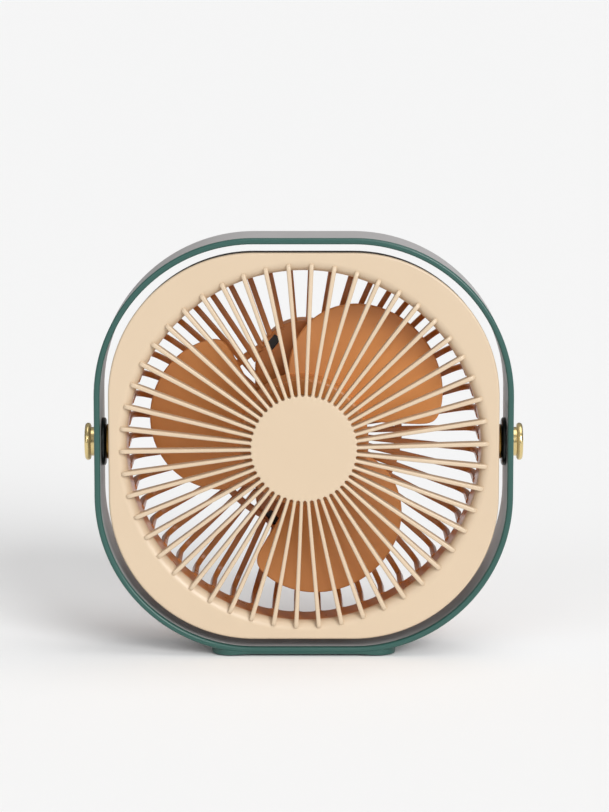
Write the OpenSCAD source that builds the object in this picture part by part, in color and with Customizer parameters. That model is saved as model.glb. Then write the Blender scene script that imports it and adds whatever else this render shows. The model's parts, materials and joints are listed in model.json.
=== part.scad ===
// Desk fan: a square, round-cornered head that tilts inside an upright ring stand.
// Millimetres. The desk is z = 0 and the fan blows towards -Y.

/* [Ring stand] */
// Half length of the straight part of each side, on ring and head alike
flat_half = 17.9; // [14:0.1:24]
// Thickness of the band
ring_t = 2.15; // [1.8:0.05:3.2]
// Depth of the ring, front to back
ring_depth = 30; // [26:1:40]
// Depth of the coloured trim on the band's front edge
trim_depth = 2.4; // [1.6:0.1:4]
// Height of the ring's underside above the desk
ring_lift = 1.2; // [1.2:0.1:4]

/* [Foot] */
// Width of the foot along the desk
foot_w = 66.4; // [56:0.1:76]
// Corner radius of the foot seen from above
foot_r = 7; // [2:0.5:12]
// Width of each land that carries the foot
land_w = 13.7; // [11:0.1:18]
// Height of the hollow between the two lands
foot_hollow = 0.45; // [0.3:0.05:0.6]
// Width of each rubber pad, along the foot
pad_w = 9; // [6:0.5:10]
// Length of each rubber pad, front to back
pad_l = 20; // [12:0.5:24]
// Thickness of each rubber pad
pad_t = 0.9; // [0.6:0.1:1.1]
// How far the pads stand out of the foot
pad_proud = 0.3; // [0.2:0.05:0.5]

/* [Tilt pivots] */
// Air gap between the ring and the head
head_gap = 3; // [2.6:0.1:5]
// Thickness of each rubber washer
washer_t = 1.5; // [1.2:0.1:1.9]
// Diameter of each rubber washer
washer_d = 17.3; // [14:0.1:20]
// Diameter of each spacer disc
spacer_d = 12.5; // [9:0.1:13]
// Diameter of the knob's head
knob_d = 13.5; // [10:0.1:18]
// Thickness of the knob's head
knob_t = 2.1; // [1.5:0.1:4]
// Diameter of the knob's collar
collar_d = 10.4; // [8:0.1:14]
// Length of the knob's collar
collar_l = 1.8; // [1:0.1:4]
// Diameter of the knob's plain shank, which the head tilts on
shank_d = 6; // [5:0.1:7]
// Diameter of the knob's screwed end
thread_d = 4; // [3:0.1:4.4]
// Outer diameter of the brass inserts
insert_d = 6; // [5.4:0.1:7]

/* [Front grille] */
// Radius of the round opening, which sets the size of the whole fan
open_r = 63.4; // [52:0.1:80]
// Radius of the opening's rolled lip
lip_r = 3.8; // [2.8:0.1:4.2]
// Width of the plate outside the lip, at its narrowest
plate_rim = 2.65; // [2.6:0.05:6]
// Thickness of the front plate
plate_t = 2.4; // [1.8:0.1:3]
// Rounding of the plate's outer edge
plate_edge = 1.4; // [0.6:0.1:1.6]
// Number of ribs
rib_n = 50; // [30:1:56]
// Angle of the first rib
rib_phase = 1.2; // [0:0.1:7]
// Radius of the hub disc
disc_r = 18.7; // [14:0.1:24]
// How far the hub disc stands ahead of the plate
disc_rise = 3; // [1:0.1:6]
// Width of a rib at the hub disc
rib_root_w = 1.2; // [0.9:0.1:1.5]
// Width of a rib at the lip
rib_tip_w = 1.6; // [1.2:0.1:2.4]
// Depth of a rib
rib_deep = 5; // [3:0.1:6.5]
// How far each rib runs out past the opening's edge
rib_reach = 2.6; // [1:0.1:3]
// How far each rib's outer end stands ahead of the plate
rib_end_rise = 1; // [0.3:0.1:2]

/* [Head case] */
// How far the back of the dark frame is ahead of the tilt axis
frame_back = 2.6; // [1:0.1:4]
// Wall thickness of the dark frame
frame_t = 1.7; // [1.3:0.1:2]
// How far the dark frame is set in from the plate's edge
frame_inset = 0.6; // [0.3:0.1:1]
// Wall thickness of the air duct
duct_t = 1.8; // [1.4:0.1:2]
// Depth of the duct's rear edge behind the plate's face
duct_deep = 17.5; // [15:0.1:22]
// Depth of the rear ribs' inner face behind the plate's face
cage_deep = 38.5; // [36:0.1:48]
// Thickness of the rear ribs
cage_t = 2.2; // [1.6:0.1:2.6]
// Width of the rear ribs
cage_rib_w = 1.4; // [1:0.1:2]
// Outer radius of the rear ribs' bend
cage_bend = 7; // [4:0.1:10]
// Outer radius of the rear middle ring
mid_r = 36.2; // [30:0.1:44]
// Radial width of the rear middle ring
mid_w = 2.6; // [1.6:0.1:4]
// How far the inner ring's faces lie below the ribs' faces
mid_inset = 0.2; // [0.1:0.1:0.5]

/* [Rear pod] */
// Width of the pod
pod_w = 36; // [34:0.1:44]
// Height of the pod
pod_h = 82.4; // [78:0.1:92]
// Depth of the pod, from its inner face to its back
pod_deep = 11.4; // [11.3:0.1:16]
// Wall thickness of the pod
pod_t = 1.4; // [1.2:0.1:1.8]
// Depth of the pod's front half
pod_half = 6; // [5:0.1:6.6]
// Rounding of the cover's back edge
cover_edge = 1.3; // [0.5:0.1:1.4]
// Length of the clip windows
window_l = 6; // [4:0.1:8]
// Width of the clip windows
window_w = 3.2; // [2:0.1:3.4]
// Diameter of the power button
button_d = 11; // [8:0.1:12]
// Travel of the power button
button_travel = 0.6; // [0.3:0.1:0.6]
// Diameter of the charge light's lens
lens_d = 2.4; // [2:0.1:3]

/* [Fan] */
// Number of blades
blade_n = 3; // [3:1:5]
// Radius of the fan's hub
hub_r = 23.5; // [21:0.1:25]
// Depth of the fan's hub
hub_deep = 17; // [15:0.1:19]
// Air gap between the petals' tips and the duct
tip_gap = 5.6; // [4:0.1:12]
// Radius of each round petal
petal_r = 28.4; // [22:0.1:30]
// Distance from the axis to the petal's straight trailing edge
trail_off = 8.6; // [4:0.1:14]
// Angle from the trailing edge to the petal's middle
petal_turn = 42.5; // [30:0.5:50]
// Angle of the first petal's trailing edge
trail_angle = 1.5; // [0:0.5:119]
// Pitch of the blades
pitch = 22; // [10:1:24]
// Thickness of the blades
blade_t = 1.5; // [1:0.1:2]

/* [Motor] */
// Outer radius of the steel can
can_r = 17; // [14:0.1:20]
// Wall thickness of the can
can_t = 0.8; // [0.6:0.1:1]
// Length of the can
can_l = 14; // [12:0.1:17]
// Radial thickness of the magnet ring
magnet_t = 2; // [1.5:0.1:2.4]
// Air gap between magnet and stator
air_gap = 0.6; // [0.4:0.1:0.8]
// Diameter of the shaft
shaft_d = 3; // [2:0.1:3.4]

/* [Clearances] */
// Radial clearance of a turning shank or shaft
run_gap = 0.05; // [0.03:0.01:0.08]
// Gap between faces that slide past each other
slide_gap = 0.1; // [0.08:0.01:0.2]
// Gap between moulded pieces that drop together
fit_gap = 0.15; // [0.1:0.01:0.25]
// Gap round the power button
button_gap = 0.3; // [0.2:0.05:0.5]

/* [Hidden] */

$fn = 96;
eps = 0.01;

// The opening sets the plate, the plate sets the ring, and an even air gap parts them.
plate_half = open_r + lip_r + plate_rim;
plate_r = plate_half - flat_half;
bore_half = plate_half + head_gap;
ring_half = bore_half + ring_t;
ring_r = ring_half - flat_half;
face = ring_depth / 2;
plate_back = face - plate_t;
rib_end_r = open_r + rib_reach - rib_tip_w / 2;

// Case: the cage's flange is held between the grille's lip and the frame's seat.
duct_r = open_r + duct_t;
lip_back = face - lip_r;
flange_t = 1.4;
flange_front = lip_back - fit_gap;
seat = flange_front - flange_t - fit_gap;
seat_r = duct_r + fit_gap;
seat_t = 1.2;
frame_floor = 1.6;
frame_half = plate_half - frame_inset;

// Four case screws sit in the head's corners.
post_d = 6.2;
post_at = (flat_half * sqrt(2) + plate_r - frame_inset - frame_t - post_d / 2 - fit_gap) / sqrt(2);
post_l = 4.4;
case_screw_d = 2.5;
case_head_d = 4.4;
case_head_l = 1.5;
case_sink = 1.8;
boss_d = 5.4;

// Pivots lie along X through the ring's middle.
pivot_boss_l = plate_half - seat_r - 0.1;
washer_in = bore_half - washer_t;
spacer_t = head_gap - washer_t - slide_gap;
insert_l = pivot_boss_l - 0.2;

// Cage, pod and what is in the pod; depths are measured forwards from the tilt axis.
duct_back = face - duct_deep;
cage_in = face - cage_deep;
cage_out = cage_in - cage_t;
pod_floor = cage_in - cage_t / 2;
pod_seam = pod_floor - pod_half;
pod_back = pod_floor - pod_deep;
floor_t = 1.6;
floor_back = pod_floor - floor_t;
sheet_t = 0.3;
sheet_back = floor_back - 0.1 - sheet_t;
pad_foam_t = 1.1;
cell_t = 5;
cell_w = pod_w - 2 * (pod_t + 2.1);
cell_l = 36;
cell_y = 12.5;
board_t = 1;
board_front = sheet_back - 1;
board_back = board_front - board_t;
board_top = -8.5;
board_screw_x = 11.5;
board_screw_y = -14;
board_screw_d = 2;
board_head_d = 3.4;
window_angle = 40;
window_at = pod_w / 2 - pod_t - window_w / 2 - 0.1;
socket_w = 8.9;
socket_h = 3.2;
socket_l = 7.3;
button_y = -24;
lens_y = -13.5;
switch_w = 6;
switch_l = 3;
plunger_d = 3.4;
plunger_up = 0.5;
button_flange_t = 0.9;
button_proud = 0.6;
button_front = pod_back + pod_t + button_flange_t + 0.15;
lead_hole_y = -20;
lead_hole_d = 4.6;

// The motor is stacked forwards from the pod's floor.
base_r = pod_w / 2 - 2;
base_t = 1.4;
base_front = pod_floor + base_t;
tube_out = 5;
tube_in = 4;
magnet_in = can_r - can_t - magnet_t;
stator_r = magnet_in - air_gap;
stator_l = can_l - 6;
can_back = base_front + 2.2;
can_front = can_back + can_l;
stator_back = base_front + 3.6;
stator_front = stator_back + stator_l;
tube_front = stator_front + 1.8;
bush_l = 3.6;
tooth_n = 6;
slot_wall = 1.5;
slot_r = (stator_r - tube_out) / 2 - slot_wall;
slot_at = (stator_r + tube_out) / 2;
coil_radial = slot_r - 0.2;
coil_wall = 1.1;
coil_over = 1.1;
tooth_w = 2 * (slot_at * sin(180 / tooth_n) - slot_r);
coil_inner = tooth_w + 0.9;
motor_board_t = 0.8;
motor_board_up = 1.1;
motor_board_r = base_r - 2;
motor_screw_at = 11.5;
motor_screw_d = 2;
motor_head_d = 3.8;
motor_head_l = 0.9;
lead_d = 0.9;
lead_pitch = 1.3;

// The fan's hub covers the can; the petals reach out to the duct.
hub_front = can_front + 9.6;
hub_rear = hub_front - hub_deep;
petal_out = open_r - tip_gap - petal_r;
hub_t = 1.8;
shaft_front = hub_front - hub_t - 0.6;
clip_t = 0.5;
clip_d = 6;
bush_rear = base_front + 0.4 + clip_t + slide_gap;
clip_back = bush_rear - slide_gap - clip_t;
shaft_back = clip_back - 0.2;

// The frame stands on the desk with its box centred over the origin.
axis_h = ring_lift + ring_half;
front_most = face + disc_rise;
rear_most = pod_back - button_proud;
axis_y = (front_most + rear_most) / 2;

// Children are drawn with +X right, +Y up and +Z out of the front of the fan.
module on_axis() {
  translate([0, axis_y, axis_h]) rotate([90, 0, 0]) children();
}

// Sweeps a profile round a square with round corners; x = 0 is the corner's centre line.
module round_square(flat) {
  for (q = [0 : 3]) rotate(90 * q) {
    translate([flat, flat, 0]) rotate_extrude(angle = 90) children();
    translate([flat, flat, 0]) rotate([90, 0, 0]) linear_extrude(2 * flat) children();
  }
}

// Round-cornered square slab from z = low to z = high.
module slab(half, flat, low, high) {
  translate([-flat, -flat, low]) cube([2 * flat, 2 * flat, high - low]);
  round_square(flat) translate([0, low]) square([half - flat, high - low]);
}

// Band of a round-cornered square between two half widths.
module band(outer, inner, flat, low, high) {
  round_square(flat) translate([inner - flat, low]) square([outer - inner, high - low]);
}

module disc(r, low, high) {
  translate([0, 0, low]) cylinder(h = high - low, r = r);
}

module tube(outer, inner, low, high) {
  rotate_extrude() translate([inner, low]) square([outer - inner, high - low]);
}

// A cylinder along X between two places.
module along_x(d, from, to) {
  translate([min(from, to), 0, 0]) rotate([0, 90, 0]) cylinder(h = abs(to - from), d = d);
}

// Upright flat shape with round ends.
module stadium(w, h) {
  square([w, h - w], center = true);
  for (s = [-1, 1]) translate([0, s * (h - w) / 2]) circle(d = w);
}

module pod_slab(inset, low, high) {
  translate([0, 0, low]) linear_extrude(high - low) stadium(pod_w - 2 * inset, pod_h - 2 * inset);
}

module at_posts() {
  for (x = [-1, 1], y = [-1, 1]) translate([x * post_at, y * post_at, 0]) children();
}

module at_motor_screws() {
  for (a = [90, 210, 330]) rotate(a) translate([motor_screw_at, 0, 0]) children();
}

module at_board_screws() {
  for (s = [-1, 1]) translate([s * board_screw_x, board_screw_y, 0]) children();
}

// ---- Ring stand ----

groove_w = 0.9;
groove_l = 1.2;
band_mid = (ring_half + bore_half) / 2;

module stand_ring() {
  color("darkgray") on_axis() difference() {
    band(ring_half, bore_half, flat_half, -face, face - trim_depth);
    band(band_mid + groove_w / 2, band_mid - groove_w / 2, flat_half,
         face - trim_depth - groove_l, face - trim_depth + eps);
    for (s = [-1, 1]) along_x(shank_d + 2 * run_gap, s * (bore_half - 1), s * (ring_half + 1));
    for (s = [-1, 1]) foot_screw_at(s) disc(foot_screw_d / 2 + run_gap, 0, foot_screw_l);
  }
}

module front_trim() {
  trim_edge = 0.8;
  tongue_w = groove_w - fit_gap;
  color("darkslategray") on_axis() {
    round_square(flat_half) {
      translate([bore_half - flat_half, face - trim_depth])
        square([ring_t, trim_depth - trim_edge]);
      translate([bore_half - flat_half + trim_edge, face - trim_edge - eps])
        square([ring_t - 2 * trim_edge, trim_edge + eps]);
      for (x = [trim_edge, ring_t - trim_edge]) intersection() {
        translate([bore_half - flat_half + x, face - trim_edge]) circle(r = trim_edge, $fn = 48);
        translate([bore_half - flat_half, face - trim_edge - eps]) square([ring_t, trim_edge + eps]);
      }
    }
    band(band_mid + tongue_w / 2, band_mid - tongue_w / 2, flat_half,
         face - trim_depth - groove_l + fit_gap, face - trim_depth + eps);
  }
}

foot_screw_d = 2;
foot_screw_l = 1.5;
foot_screw_head_d = 3.8;
land_x = foot_w / 2 - land_w / 2;

// The ring's underside rises away from the middle of the foot.
function ring_rise(x) =
  x < flat_half ? 0 : ring_r - sqrt(ring_r * ring_r - (x - flat_half) * (x - flat_half));

screw_base = ring_lift + ring_rise(land_x) - 0.15;
pad_top = pad_t;

// A foot screw's own frame: its origin is where it enters the ring, seen along the fan's axis.
module foot_screw_at(s) {
  translate([s * land_x, screw_base - axis_h, 0]) rotate([-90, 0, 0]) children();
}

// Slab with upright round corners, centred on the ring's depth.
module foot_slab(w, l, r, low, high) {
  h = high - low;
  translate([0, axis_y, low]) {
    translate([-w / 2, r - l / 2, 0]) cube([w, l - 2 * r, h]);
    for (s = [-1, 1]) translate([r - w / 2, s * (l - r) / 2 - r / 2, 0]) cube([w - 2 * r, r, h]);
    for (q = [0 : 3]) translate([(q == 0 || q == 3 ? 1 : -1) * (w / 2 - r), (q < 2 ? 1 : -1) * (l / 2 - r), 0])
      rotate(90 * q) rotate_extrude(angle = 90) square([r, h]);
  }
}

module base_foot() {
  foot_h = ring_lift + ring_rise(foot_w / 2) + 0.4;
  color("darkslategray") difference() {
    foot_slab(foot_w, ring_depth, foot_r, pad_proud, foot_h);
    on_axis() slab(ring_half + eps, flat_half, -face - 1, face + 1, $fn = 480);
    translate([-foot_w / 2 + land_w, axis_y - face - 1, -1])
      cube([foot_w - 2 * land_w, ring_depth + 2, 1 + pad_proud + foot_hollow]);
    for (s = [-1, 1]) {
      translate([s * land_x - pad_w / 2 - fit_gap, axis_y - pad_l / 2 - fit_gap, -1])
        cube([pad_w + 2 * fit_gap, pad_l + 2 * fit_gap, 1 + pad_top]);
      translate([s * land_x, axis_y, 0]) cylinder(h = foot_h + 1, d = foot_screw_d + 2 * run_gap);
    }
  }
}

module foot_pads() {
  color("dimgray") for (s = [-1, 1])
    translate([s * land_x - pad_w / 2, axis_y - pad_l / 2, 0]) difference() {
      cube([pad_w, pad_l, pad_top]);
      translate([pad_w / 2, pad_l / 2, pad_top - 0.5])
        cylinder(h = 1, d = foot_screw_head_d + 0.4);
    }
}

module foot_screws() {
  color("silver") for (s = [-1, 1]) translate([s * land_x, axis_y, 0]) {
    translate([0, 0, pad_top - 0.45]) cylinder(h = 0.45, d = foot_screw_head_d);
    translate([0, 0, pad_top - eps])
      cylinder(h = screw_base + foot_screw_l - 0.1 - pad_top + eps, d = foot_screw_d);
  }
}

module tilt_washer(s) {
  edge = 0.5;
  r = washer_d / 2;
  color("black") on_axis() mirror([s < 0 ? 1 : 0, 0, 0]) translate([washer_in, 0, 0]) rotate([0, 90, 0])
    difference() {
      union() {
        cylinder(h = washer_t, r = r - edge);
        translate([0, 0, edge]) cylinder(h = washer_t - edge, r = r);
        translate([0, 0, edge]) rotate_extrude() translate([r - edge, 0]) intersection() {
          circle(r = edge, $fn = 48);
          translate([0, -edge]) square(edge);
        }
      }
      translate([0, 0, -1]) cylinder(h = washer_t + 2, d = shank_d + 4 * run_gap);
    }
}

module tilt_washer_left() { tilt_washer(-1); }
module tilt_washer_right() { tilt_washer(1); }

// ---- Head case ----

// A front rib lies on a slope from the hub disc down to the lip.
module front_rib() {
  root = disc_r - 1;
  run = rib_end_r - root;
  slope = atan((disc_rise - rib_end_rise) / run);
  translate([root, 0, face + disc_rise]) rotate([0, slope, 0]) translate([0, 0, -rib_deep])
    linear_extrude(rib_deep) {
      polygon([[0, -rib_root_w / 2], [run, -rib_tip_w / 2], [run, rib_tip_w / 2], [0, rib_root_w / 2]]);
      translate([run, 0]) circle(d = rib_tip_w, $fn = 24);
    }
}

module front_grille() {
  disc_edge = 0.5;
  color("wheat") on_axis() difference() {
    union() {
      difference() {
        union() {
          slab(plate_half, flat_half, plate_back, face - plate_edge);
          slab(plate_half - plate_edge, flat_half, face - plate_edge - eps, face);
          round_square(flat_half) intersection() {
            translate([plate_r - plate_edge, face - plate_edge]) circle(r = plate_edge, $fn = 64);
            translate([plate_r - plate_edge - eps, face - plate_edge - eps]) square(plate_edge + 1);
          }
          disc(open_r + lip_r, lip_back, face - eps);
        }
        disc(open_r, lip_back - 1, face + 1);
        rotate_extrude() difference() {
          translate([open_r - 0.5, lip_back]) square([lip_r + 0.5, lip_r + 1]);
          translate([open_r + lip_r, lip_back]) circle(r = lip_r);
        }
      }
      difference() {
        for (i = [0 : rib_n - 1]) rotate(rib_phase + i * 360 / rib_n) front_rib();
        tube(open_r + lip_r, open_r - 0.1, lip_back - rib_deep, lip_back);
      }
      disc(disc_r, face + disc_rise - rib_deep, face + disc_rise - disc_edge);
      translate([0, 0, face + disc_rise - disc_edge])
        cylinder(h = disc_edge, r1 = disc_r, r2 = disc_r - disc_edge);
      at_posts() disc(boss_d / 2, frame_back + post_l + fit_gap, plate_back + eps);
    }
    disc(disc_r - 2, face + disc_rise - rib_deep - 1, face + disc_rise - 2.2);
    at_posts() disc(case_screw_d / 2, frame_back, plate_back);
  }
}

module middle_frame() {
  color("saddlebrown") on_axis() difference() {
    union() {
      band(frame_half, frame_half - frame_t, flat_half, frame_back, plate_back - eps);
      difference() {
        slab(frame_half - eps, flat_half, frame_back, frame_back + frame_floor);
        disc(seat_r, frame_back - 1, plate_back);
      }
      tube(seat_r + seat_t, seat_r, frame_back, seat);
      at_posts() disc(post_d / 2, frame_back, frame_back + post_l);
      for (s = [-1, 1]) along_x(spacer_d, s * (plate_half - pivot_boss_l), s * plate_half);
    }
    at_posts() disc(case_head_d / 2 + fit_gap, frame_back - 1, frame_back + case_sink);
    at_posts() disc(case_screw_d / 2 + fit_gap, frame_back, plate_back);
    for (s = [-1, 1]) along_x(insert_d, s * (plate_half - insert_l), s * (plate_half + 1));
  }
}

module case_screws() {
  low = frame_back + case_sink;
  color("silver") on_axis() at_posts() {
    disc(case_head_d / 2, low - case_head_l, low);
    disc(case_screw_d / 2 - run_gap, low - eps, plate_back - 1);
  }
}

// One rear rib: back from the duct, round the bend and in to the pod.
module cage_rib() {
  r = duct_r;
  c = [r - cage_bend, cage_out + cage_bend];
  rotate([90, 0, 0]) translate([0, 0, -cage_rib_w / 2]) linear_extrude(cage_rib_w) {
    translate([r - cage_t, c[1]]) square([cage_t, duct_back + 0.1 - c[1]]);
    translate([pod_w / 2 - 1, cage_out]) square([c[0] - pod_w / 2 + 1, cage_t]);
    intersection() {
      translate(c) difference() {
        circle(r = cage_bend);
        circle(r = cage_bend - cage_t);
      }
      translate([c[0], cage_out]) square(cage_bend);
    }
  }
}

module clip_windows() {
  for (s = [-1, 1], a = [window_angle, 180 - window_angle])
    translate([0, s * (pod_h - pod_w) / 2, 0]) rotate(s * a) translate([window_at, 0, floor_back - 1])
      translate([-window_w / 2, -window_l / 2, 0]) cube([window_w, window_l, floor_t + 3]);
}

module socket_cut(low, high) {
  translate([-socket_w / 2 - fit_gap, -pod_h / 2 - 1, low]) cube([socket_w + 2 * fit_gap, 6, high - low]);
}

module rear_cage() {
  color("peru") on_axis() difference() {
    union() {
      tube(duct_r, open_r, duct_back, flange_front);
      tube(seat_r + seat_t, open_r, flange_front - flange_t, flange_front);
      difference() {
        union() {
          for (i = [0 : rib_n - 1]) rotate(rib_phase + i * 360 / rib_n) cage_rib();
          tube(mid_r, mid_r - mid_w, cage_out + mid_inset, cage_in - mid_inset);
        }
        pod_slab(pod_t / 2, cage_out - 1, cage_in + 1);
      }
      difference() {
        pod_slab(0, pod_seam, pod_floor);
        pod_slab(pod_t, pod_seam - 1, floor_back);
      }
      at_board_screws() disc(2.2, board_front, floor_back + eps);
    }
    clip_windows();
    socket_cut(pod_seam - 1, board_back + fit_gap);
    at_motor_screws() disc(motor_screw_d / 2 + run_gap, floor_back - 1, pod_floor + 1);
    at_board_screws() disc(board_screw_d / 2, board_front - 1, floor_back + 0.8);
    translate([0, lead_hole_y, 0]) disc(lead_hole_d / 2, floor_back - 1, pod_floor + 1);
  }
}

module rear_cover() {
  color("peru") on_axis() difference() {
    union() {
      pod_slab(0, pod_back + cover_edge, pod_seam - fit_gap);
      pod_slab(cover_edge, pod_back, pod_back + cover_edge + eps);
      cover_round();
    }
    pod_slab(pod_t, pod_back + pod_t, pod_seam + 1);
    translate([0, button_y, 0]) disc(button_d / 2 + button_gap, pod_back - 1, pod_seam);
    translate([0, lens_y, 0]) disc(lens_d / 2, pod_back - 1, pod_seam);
    socket_cut(board_back - socket_h - fit_gap, pod_seam + 1);
  }
}

// Quarter-round edge along the cover's back, straight down the sides and round both ends.
module cover_round() {
  half = (pod_h - pod_w) / 2;
  for (s = [0, 180]) rotate(s) {
    translate([0, half, 0]) rotate_extrude(angle = 180) edge_quarter();
    translate([0, half, 0]) rotate([90, 0, 0]) linear_extrude(2 * half) edge_quarter();
  }
}

module edge_quarter() {
  x = pod_w / 2 - cover_edge;
  intersection() {
    translate([x, pod_back + cover_edge]) circle(r = cover_edge, $fn = 48);
    translate([x - eps, pod_back]) square([cover_edge + 1, cover_edge + eps]);
  }
}

module spacer_disc(s) {
  color("goldenrod") on_axis() mirror([s < 0 ? 1 : 0, 0, 0]) difference() {
    along_x(spacer_d, plate_half, plate_half + spacer_t);
    along_x(shank_d + 2 * run_gap, plate_half - 1, plate_half + spacer_t + 1);
  }
}

module spacer_disc_left() { spacer_disc(-1); }
module spacer_disc_right() { spacer_disc(1); }

module pivot_inserts() {
  color("goldenrod") on_axis() for (s = [-1, 1]) difference() {
    along_x(insert_d, s * (plate_half - insert_l), s * plate_half);
    along_x(thread_d + 2 * run_gap, s * (plate_half - insert_l - 1), s * (plate_half + 1));
  }
}

module knob(s) {
  edge = knob_t / 2;
  shoulder = ring_half + slide_gap;
  head = shoulder + collar_l;
  color("gold") on_axis() mirror([s < 0 ? 1 : 0, 0, 0]) {
    along_x(collar_d, shoulder, head);
    along_x(knob_d - 2 * edge, head - eps, head + knob_t);
    translate([head + edge, 0, 0]) rotate([0, 90, 0]) rotate_extrude()
      translate([knob_d / 2 - edge, 0]) intersection() {
        circle(r = edge, $fn = 48);
        translate([-eps, -edge]) square([edge + 1, 2 * edge]);
      }
    along_x(shank_d, plate_half + run_gap, shoulder + eps);
    along_x(thread_d, plate_half - insert_l + 0.4, plate_half + run_gap + eps);
  }
}

module knob_left() { knob(-1); }
module knob_right() { knob(1); }

// ---- Motor ----

module motor_base() {
  color("silver") on_axis() difference() {
    union() {
      disc(base_r, pod_floor, base_front);
      disc(tube_out, pod_floor, tube_front);
    }
    disc(tube_in, base_front, tube_front + 1);
    at_motor_screws() disc(motor_screw_d / 2, pod_floor - 1, base_front + 1);
  }
}

module motor_screws() {
  color("silver") on_axis() at_motor_screws() {
    disc(motor_head_d / 2, floor_back - motor_head_l, floor_back);
    disc(motor_screw_d / 2 - run_gap, floor_back - eps, base_front - 0.2);
  }
}

module motor_bearings() {
  color("darkgoldenrod") on_axis() for (z = [bush_rear, tube_front - bush_l])
    tube(tube_in, shaft_d / 2 + run_gap, z, z + bush_l);
}

module motor_board() {
  low = base_front + motor_board_up;
  color("darkgreen") on_axis() tube(motor_board_r, tube_out, low, low + motor_board_t);
}

module stator_core() {
  color("slategray") on_axis() translate([0, 0, stator_back]) linear_extrude(stator_l) difference() {
    circle(r = stator_r);
    circle(r = tube_out);
    for (i = [0 : tooth_n - 1]) rotate((i + 0.5) * 360 / tooth_n) {
      translate([slot_at, 0]) circle(r = slot_r, $fn = 48);
      translate([slot_at, -0.7]) square([stator_r, 1.4]);
    }
  }
}

module stator_coils() {
  w = coil_inner + 2 * coil_wall;
  l = stator_l + 2 * coil_over;
  color("chocolate") on_axis() for (i = [0 : tooth_n - 1]) rotate(i * 360 / tooth_n)
    translate([slot_at * cos(180 / tooth_n), 0, stator_back + stator_l / 2]) difference() {
      cube([coil_radial, w, l], center = true);
      cube([coil_radial + 1, coil_inner, stator_l + 0.1], center = true);
    }
}

module motor_leads() {
  z = base_front + motor_board_up - lead_d / 2 - 0.05;
  start = -motor_board_r + 1.5;
  color("firebrick") on_axis() for (i = [-1, 0, 1]) translate([i * lead_pitch, 0, 0]) {
    translate([0, start, z]) rotate([90, 0, 0]) cylinder(h = start - lead_hole_y, d = lead_d, $fn = 24);
    translate([0, lead_hole_y, z]) sphere(d = lead_d, $fn = 24);
    translate([0, lead_hole_y, board_front]) cylinder(h = z - board_front, d = lead_d, $fn = 24);
  }
}

// ---- In the pod ----

module insulation_sheet() {
  color("black") on_axis() difference() {
    pod_slab(pod_t + fit_gap, sheet_back, sheet_back + sheet_t);
    disc(base_r - 1, sheet_back - 1, sheet_back + 1);
    at_board_screws() disc(2.2 + fit_gap, sheet_back - 1, sheet_back + 1);
    translate([0, lead_hole_y, 0]) disc(lead_hole_d / 2, sheet_back - 1, sheet_back + 1);
  }
}

cell_front = sheet_back - pad_foam_t;

module battery_pad() {
  color("dimgray") on_axis() translate([-8, 16, cell_front]) cube([16, 12, pad_foam_t]);
}

module battery_cell() {
  side = 1.2;
  color("steelblue") on_axis() translate([0, cell_y, cell_front - cell_t]) {
    translate([-cell_w / 2 + side, -cell_l / 2, 0]) cube([cell_w - 2 * side, cell_l, cell_t]);
    translate([-cell_w / 2, -cell_l / 2, side]) cube([cell_w, cell_l, cell_t - 2 * side]);
    for (s = [-1, 1], z = [side, cell_t - side])
      translate([s * (cell_w / 2 - side), cell_l / 2, z]) rotate([90, 0, 0])
        cylinder(h = cell_l, r = side, $fn = 32);
  }
}

module battery_leads() {
  y = cell_y - cell_l / 2;
  z = board_back - 0.8;
  drop = 5.5;
  color("firebrick") on_axis() for (s = [-1, 1]) translate([s * 5, y, z]) {
    rotate([90, 0, 0]) cylinder(h = drop, d = lead_d, $fn = 24);
    translate([0, -drop, 0]) sphere(d = lead_d, $fn = 24);
    translate([0, -drop, 0]) cylinder(h = board_back - z, d = lead_d, $fn = 24);
  }
}

module circuit_board() {
  color("darkgreen") on_axis() difference() {
    pod_slab(pod_t + 0.7, board_back, board_front);
    translate([-pod_w, board_top, board_back - 1]) cube([2 * pod_w, pod_h, 3]);
    at_board_screws() disc(board_screw_d / 2 + fit_gap, board_back - 1, board_front + 1);
  }
}

module board_screws() {
  color("silver") on_axis() at_board_screws() {
    disc(board_head_d / 2, board_back - 0.8, board_back);
    disc(board_screw_d / 2 - run_gap, board_back - eps, floor_back + 0.4);
  }
}

module usb_socket() {
  shell = 0.3;
  r = socket_h / 2;
  color("silver") on_axis() translate([0, -pod_h / 2 + 0.4, board_back - r]) rotate([-90, 0, 0]) {
    difference() {
      linear_extrude(socket_l) socket_shape(r);
      translate([0, 0, -1]) linear_extrude(socket_l) socket_shape(r - shell);
    }
    translate([-3.2, -0.35, 1]) cube([6.4, 0.7, socket_l - 1]);
  }
}

module socket_shape(r) {
  x = socket_w / 2 - socket_h / 2;
  square([2 * x, 2 * r], center = true);
  for (s = [-1, 1]) translate([s * x, 0]) circle(r = r, $fn = 48);
}

module switch_body() {
  color("black") on_axis() translate([0, button_y, board_back - switch_l]) difference() {
    translate([-switch_w / 2, -switch_w / 2, 0]) cube([switch_w, switch_w, switch_l]);
    translate([0, 0, -1]) cylinder(h = 1 + switch_l - 0.6, d = plunger_d + 4 * slide_gap);
  }
}

module light_lens() {
  color("white") on_axis() translate([0, lens_y, 0]) {
    disc(lens_d / 2, pod_back, board_back - 0.8);
    disc(lens_d / 2 + 0.6, pod_back + pod_t, pod_back + pod_t + 0.6);
  }
}

module switch_plunger() {
  z = board_back - switch_l - plunger_up;
  color("ivory") on_axis() translate([0, button_y, 0])
    disc(plunger_d / 2, z, board_back - 0.6 - button_travel - 0.3);
}

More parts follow.
